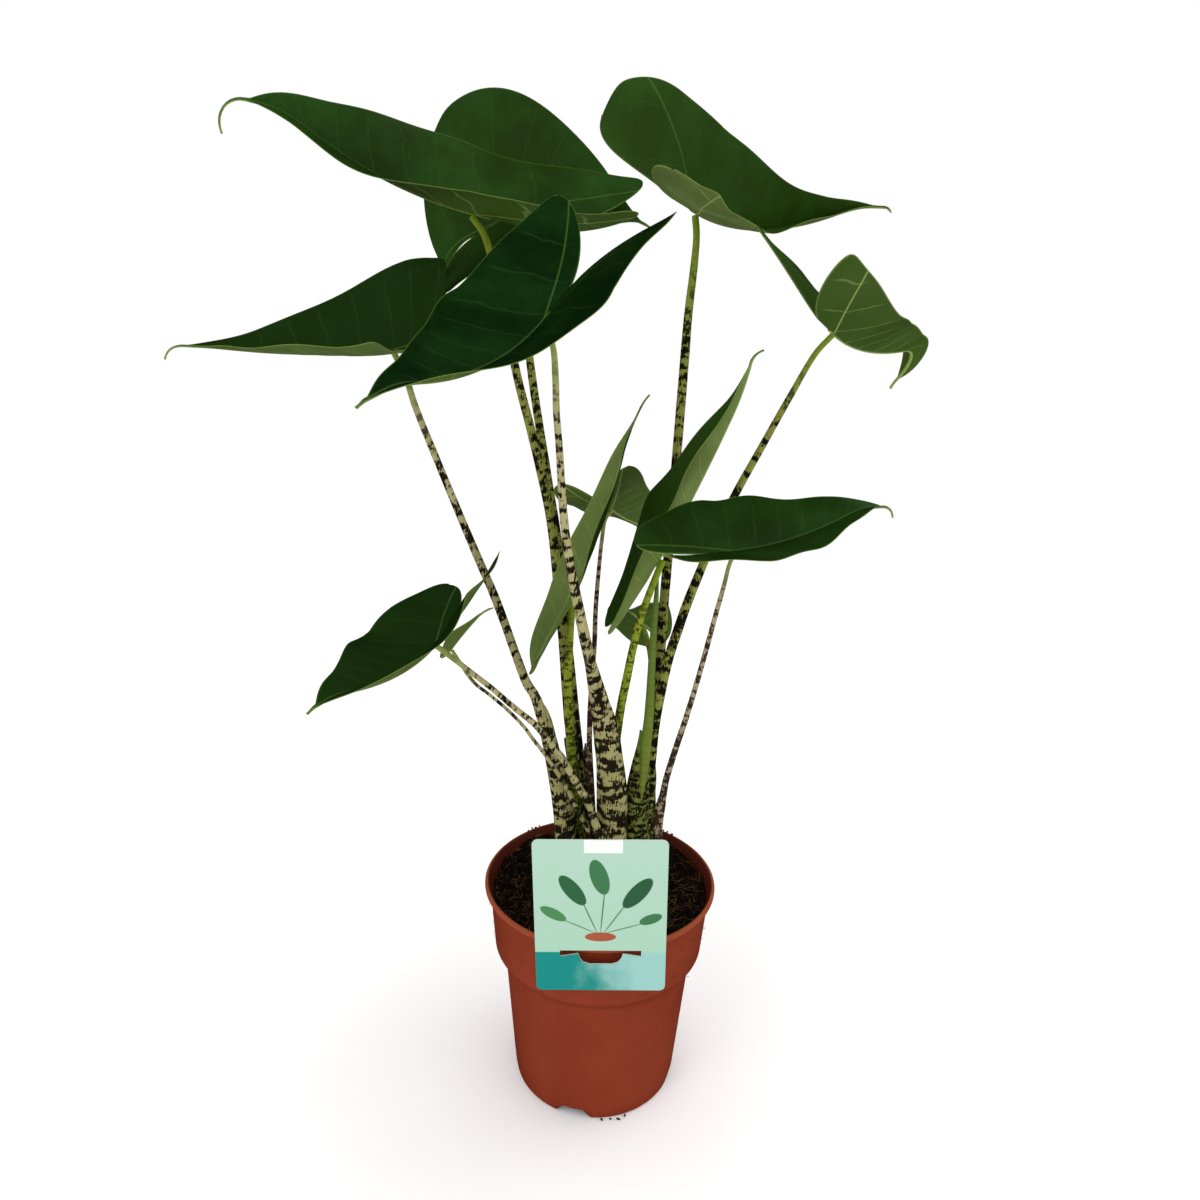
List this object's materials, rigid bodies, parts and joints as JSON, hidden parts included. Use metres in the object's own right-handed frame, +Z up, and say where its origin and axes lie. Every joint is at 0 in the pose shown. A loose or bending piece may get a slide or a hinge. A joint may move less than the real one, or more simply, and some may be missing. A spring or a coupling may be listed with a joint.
{
  "type": "potted plant",
  "caption": "Potted zebrina alocasia: arrow-shaped glossy leaves on tall banded stalks in a round terracotta-coloured plastic nursery pot, with a plain card hooked over the rim.",
  "frame": {"origin": "middle of the pot's base, on the surface that it stands on", "axes": "+Z up, +X to the right and -Y towards the viewer, facing the plant card"},
  "size_m": [0.5546, 0.3762, 0.7204],
  "materials": {
    "pot": "matte, terracotta brown",
    "soil": "damp dark potting soil with pale fibres",
    "card": "satin printed plastic sheet, mint above and teal below",
    "leaf_blade": "glossy dark green above, pale grey-green beneath",
    "leaf_stalk": "satin, cream-green with dark zebra bands",
    "new_leaf": "satin fresh green"
  },
  "bodies": {
    "root": {"pot": "pot", "potting_soil": "soil", "plant_card": "card", "blade_top_left": "leaf_blade", "stalk_top_left": "leaf_stalk", "blade_top_back": "leaf_blade", "stalk_top_back": "leaf_stalk", "blade_left": "leaf_blade", "stalk_left": "leaf_stalk", "blade_front": "leaf_blade", "stalk_front": "leaf_stalk", "blade_top_right": "leaf_blade", "stalk_top_right": "leaf_stalk", "blade_right": "leaf_blade", "stalk_right": "leaf_stalk", "blade_mid_right": "leaf_blade", "stalk_mid_right": "leaf_stalk", "blade_upright_right": "leaf_blade", "stalk_upright_right": "leaf_stalk", "blade_upright_left": "leaf_blade", "stalk_upright_left": "leaf_stalk", "blade_small_back": "leaf_blade", "stalk_small_back": "leaf_stalk", "blade_low_left": "leaf_blade", "stalk_low_left": "leaf_stalk", "blade_low_small": "leaf_blade", "stalk_low_small": "leaf_stalk", "blade_low_back": "leaf_blade", "stalk_low_back": "leaf_stalk", "rolled_new_leaf": "new_leaf", "new_leaf_sheath": "leaf_stalk"}
  },
  "joints": []
}
